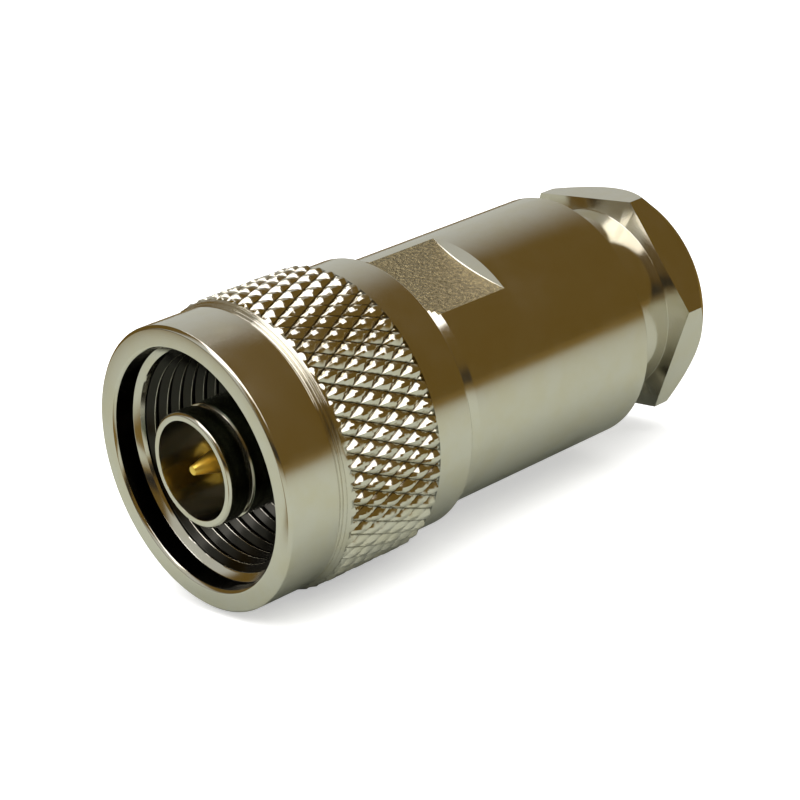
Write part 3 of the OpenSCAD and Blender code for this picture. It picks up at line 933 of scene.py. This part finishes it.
def clamp_nut_mesh(nut):
    """The clamp nut, turned, with its hex pressed in and its thread added."""
    front = CLAMP_LOW.x
    rear = CLAMP_HIGH.x
    hex_front = rear - nut.hex_length
    thread_end = front + nut.thread_length
    corner = CLAMP_HIGH.y
    half_across = CLAMP_HIGH.z
    nose = BODY_HIGH.z - NOSE_INSET
    chamfer_start = rear - nut.chamfer_length
    slope = nut.chamfer_drop / nut.chamfer_length
    outside = [
        (thread_end + NECK_STEP, nut.neck_radius), (hex_front, nut.neck_radius),
        (hex_front, corner), (chamfer_start, corner),
    ]
    outside += [(chamfer_start + nut.chamfer_length * i / CHAMFER_ROWS,
                 corner - nut.chamfer_drop * i / CHAMFER_ROWS)
                for i in range(1, CHAMFER_ROWS + 1)]
    back = [
        (rear, nut.bore_radius + BORE_CHAMFER), (rear - BORE_CHAMFER, nut.bore_radius),
        (front, nut.bore_radius), (front, nut.thread_minor),
    ]
    points = outside + back
    kept = {0, len(points) - 1} | set(range(2, len(outside) - 1))
    mesh = turned(points, TURNED_STEPS, keep=kept)
    for vertex in mesh.verts:
        x = vertex.co.x
        radius = radius_of(vertex.co)
        if x < hex_front - SLACK or radius < nut.neck_radius + HEX_MARGIN:
            continue
        off = (angle_of(vertex.co) + math.pi / 6) % (math.pi / 3) - math.pi / 6
        across = half_across / math.cos(off)
        if x < chamfer_start - SLACK:
            set_radius(vertex, min(radius, across))
        elif radius > across - SLACK:
            set_radius(vertex, across)
            vertex.co.x = max(x, chamfer_start + (corner - across) / slope)
    thread = threaded(nose, nut.thread_minor, nut.thread_pitch, front, thread_end, TURNED_STEPS)
    for vertex in thread.verts:
        if vertex.co.x <= front:
            vertex.co.x = front
            set_radius(vertex, nut.thread_minor)
        elif vertex.co.x >= thread_end:
            vertex.co.x = thread_end + NECK_STEP
            set_radius(vertex, nut.neck_radius)
        else:
            cone = nut.thread_minor + (vertex.co.x - front)
            set_radius(vertex, min(radius_of(vertex.co), cone))
    join_mesh(mesh, thread)
    return mesh


class PLUG_OT_clamp_nut(Operator):
    """Builds the hexagonal clamp nut"""
    bl_idname = "plug.clamp_nut"
    bl_label = "Clamp nut"

    def execute(self, context):
        mesh = clamp_nut_mesh(context.scene.plug_clamp_nut)
        finish_piece("hex_clamp_nut", mesh, ("nickel_turned",), "clamp_nut", "clamp_nut",
                     sharp_degrees=20)
        return {"FINISHED"}


# ---------------------------------------------------------------- pieces inside

class PLUG_OT_inner_parts(Operator):
    """Gives the pieces inside the plug their finishes"""
    bl_idname = "plug.inner_parts"
    bl_label = "Inner parts"

    def execute(self, context):
        made = finishes()
        coats = {
            "retaining_ring": "steel_ring",
            "front_gasket": "gasket_black",
            "clamp_gasket": "gasket_black",
            "front_insulator": "insulator_white",
            "rear_insulator": "insulator_white",
            "braid_clamp": "brass_turned",
            "slip_washer": "brass_turned",
        }
        for node, label in coats.items():
            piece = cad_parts[node]
            for index in range(len(piece.material_slots)):
                piece.material_slots[index].material = made[label]
        return {"FINISHED"}


# ---------------------------------------------------------------- stage

def set_world(scene):
    """A room for the plated metal to mirror: brown, dark in front, and light grey behind and at
    one side. The camera sees white, and rays that aren't mirrored get a white fill."""
    world = bpy.data.worlds.new("studio")
    scene.world = world
    world.use_nodes = True
    tree = world.node_tree
    tree.nodes.clear()
    out = tree.nodes.new("ShaderNodeOutputWorld")
    path = tree.nodes.new("ShaderNodeLightPath")
    place = tree.nodes.new("ShaderNodeTexCoord")
    x, y, z = split_axes(tree, place.outputs["Generated"])

    def background(colour, strength):
        node = tree.nodes.new("ShaderNodeBackground")
        node.inputs["Color"].default_value = (*colour, 1.0)
        node.inputs["Strength"].default_value = strength
        return node.outputs["Background"]

    def blend(factor, first, second):
        node = tree.nodes.new("ShaderNodeMixShader")
        tree.links.new(factor, node.inputs["Fac"])
        tree.links.new(first, node.inputs[1])
        tree.links.new(second, node.inputs[2])
        return node.outputs["Shader"]

    behind = math_node(tree, "MULTIPLY", rising(tree, y, *BEHIND_Y), rising(tree, x, *BEHIND_X))
    side = math_node(tree, "MULTIPLY", falling(tree, x, *SIDE_X), rising(tree, y, *SIDE_Y))
    front = math_node(tree, "MULTIPLY", falling(tree, x, *FRONT_X), falling(tree, z, *FRONT_Z))
    light = math_node(tree, "MAXIMUM", behind, side)
    room = blend(light, background(ROOM_BROWN, 1.0), background(ROOM_GREY, 1.0))
    room = blend(front, room, background(ROOM_DARK, 1.0))
    mirrored = blend(path.outputs["Is Glossy Ray"], background(WHITE, FILL_STRENGTH), room)
    seen = blend(path.outputs["Is Camera Ray"], mirrored, background(WHITE, 1.0))
    tree.links.new(seen, out.inputs["Surface"])


def add_softbox(scene, name, low, high):
    """A soft lamp overhead. Its corners are given as shares of its height above the plug's axis."""
    width = (high[0] - low[0]) * LAMP_HEIGHT
    depth = (high[1] - low[1]) * LAMP_HEIGHT
    data = bpy.data.lights.new(name, "AREA")
    data.shape = "RECTANGLE"
    data.size = width
    data.size_y = depth
    data.energy = LAMP_RADIANCE * math.pi * width * depth
    data.color = LAMP_COLOUR
    lamp = bpy.data.objects.new(name, data)
    lamp.location = ((low[0] + high[0]) / 2 * LAMP_HEIGHT + LAMP_SHIFT,
                     (low[1] + high[1]) / 2 * LAMP_HEIGHT, LAMP_HEIGHT)
    scene.collection.objects.link(lamp)


def add_floor(scene):
    """A pale table under the plug, whiter to the camera than to the metal. The metal mirrors it
    dark far off, with a painted shadow beyond the plug and a painted dark patch before the mouth."""
    mesh = bmesh.new()
    bmesh.ops.create_grid(mesh, x_segments=1, y_segments=1, size=TABLE_HALF)
    bmesh.ops.translate(mesh, verts=mesh.verts[:], vec=(0, 0, CAD_BOX[0][2] - TABLE_GAP))
    data = bpy.data.meshes.new("table")
    mesh.to_mesh(data)
    mesh.free()
    material, tree, shader = new_material("table_top", TABLE_COLOUR, roughness=1.0, metallic=0.0)
    shader.inputs["Specular IOR Level"].default_value = 0.0
    to_camera = tree.nodes.new("ShaderNodeLightPath").outputs["Is Camera Ray"]
    place = object_place(tree)
    x, y, _ = split_axes(tree, place)
    spot = tree.nodes.new("ShaderNodeVectorMath")
    spot.operation = "LENGTH"
    tree.links.new(place, spot.inputs["Vector"])
    away = rising(tree, spot.outputs["Value"], *DARK_AWAY)
    # Painted shadow of the plug on the table behind it, seen only in the metal.
    painted_shadow = rising(tree, math_node(tree, "ADD", x, y), *PAINTED_SHADOW_BEYOND)
    # A painted dark patch before the mouth, seen only in the metal.
    painted_dark_patch = math_node(tree, "MULTIPLY", falling(tree, x, *DARK_PATCH_X),
                      falling(tree, math_node(tree, "ABSOLUTE", y), *DARK_PATCH_Y))
    shade = math_node(tree, "MAXIMUM", math_node(tree, "MAXIMUM", away, painted_shadow), painted_dark_patch)
    mirrored = blend_colours(tree, shade, TABLE_NEAR, TABLE_FAR)
    tree.links.new(blend_colours(tree, to_camera, mirrored, TABLE_SEEN),
                   shader.inputs["Base Color"])
    shader.inputs["Emission Color"].default_value = (*WHITE, 1.0)
    tree.links.new(math_node(tree, "MULTIPLY", to_camera, TABLE_GLOW),
                   shader.inputs["Emission Strength"])
    data.materials.append(material)
    table = bpy.data.objects.new("table", data)
    scene.collection.objects.link(table)


def add_camera(scene):
    """The camera, seen from the mating end, above and to the side."""
    data = bpy.data.cameras.new("camera")
    data.sensor_width = CAMERA_SENSOR
    data.lens = CAMERA_LENS
    data.clip_start, data.clip_end = CAMERA_CLIP
    camera = bpy.data.objects.new("camera", data)
    right = Vector(CAMERA_RIGHT).normalized()
    forward = Vector(CAMERA_FORWARD)
    forward = (forward - right * forward.dot(right)).normalized()
    up = right.cross(forward)
    turn = Matrix((right, up, -forward)).transposed().to_4x4()
    camera.matrix_world = Matrix.Translation(Vector(CAMERA_PLACE) * MM) @ turn
    scene.collection.objects.link(camera)
    scene.camera = camera


class PLUG_OT_stage(Operator):
    """Sets the camera, the lamps, the table and the surroundings"""
    bl_idname = "plug.stage"
    bl_label = "Stage"

    def execute(self, context):
        scene = context.scene
        scene.view_settings.view_transform = "Standard"
        add_camera(scene)
        set_world(scene)
        add_floor(scene)
        for name, (low, high) in SOFTBOXES.items():
            add_softbox(scene, name, low, high)
        return {"FINISHED"}


class PLUG_PT_build(Panel):
    """Lists the pieces that can be built"""
    bl_idname = "PLUG_PT_build"
    bl_label = "Cable plug"
    bl_space_type = "VIEW_3D"
    bl_region_type = "UI"
    bl_category = "Plug"

    def draw(self, context):
        for operator in BUILD_ORDER:
            self.layout.operator(operator.bl_idname)
        for label in SETTINGS:
            box = self.layout.box()
            box.label(text=label.replace("plug_", "").replace("_", " ").capitalize())
            group = getattr(context.scene, label)
            for key in group.__annotations__:
                box.prop(group, key)


SETTINGS = {
    "plug_coupling_nut": PLUG_PG_coupling_nut,
    "plug_body": PLUG_PG_body,
    "plug_contact": PLUG_PG_contact,
    "plug_clamp_nut": PLUG_PG_clamp_nut,
    "plug_finish": PLUG_PG_finish,
}
BUILD_ORDER = (PLUG_OT_stage, PLUG_OT_coupling_nut, PLUG_OT_body, PLUG_OT_centre_contact,
               PLUG_OT_clamp_nut, PLUG_OT_inner_parts)


def register():
    """Adds the sizes, the operators and the panel to Blender."""
    for group in SETTINGS.values():
        bpy.utils.register_class(group)
    for label, group in SETTINGS.items():
        setattr(bpy.types.Scene, label, PointerProperty(type=group))
    for operator in BUILD_ORDER:
        bpy.utils.register_class(operator)
    bpy.utils.register_class(PLUG_PT_build)


def unregister():
    """Takes them out again."""
    bpy.utils.unregister_class(PLUG_PT_build)
    for operator in reversed(BUILD_ORDER):
        bpy.utils.unregister_class(operator)
    for label in SETTINGS:
        delattr(bpy.types.Scene, label)
    for group in reversed(list(SETTINGS.values())):
        bpy.utils.unregister_class(group)


def main():
    """Builds everything in order."""
    register()
    for operator in BUILD_ORDER:
        group, name = operator.bl_idname.split(".")
        getattr(getattr(bpy.ops, group), name)()


if __name__ == "__main__":
    main()
